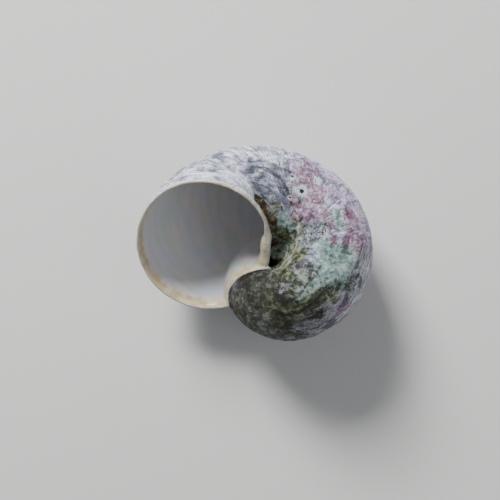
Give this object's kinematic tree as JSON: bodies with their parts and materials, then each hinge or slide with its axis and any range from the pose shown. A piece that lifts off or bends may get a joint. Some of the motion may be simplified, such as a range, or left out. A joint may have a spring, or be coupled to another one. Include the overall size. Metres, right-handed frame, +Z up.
{
  "type": "turban shell",
  "caption": "Rounded sea-snail shell with a low spire and a wide round mouth, lying on its back with the mouth facing up.",
  "frame": {"origin": "bottom centre of the shell's bounding box, on the surface that it lies on", "axes": "+Z up, out of the mouth; +X along the shell's longest side, from the outer lip of the mouth to the back of the last whorl; +Y towards the top of the view from above"},
  "size_m": [0.04, 0.0332, 0.0251],
  "materials": {
    "shell": "matte, chalky and crusted outside; smooth and pearly inside the mouth"
  },
  "bodies": {
    "root": {"shell": "shell"}
  },
  "joints": []
}
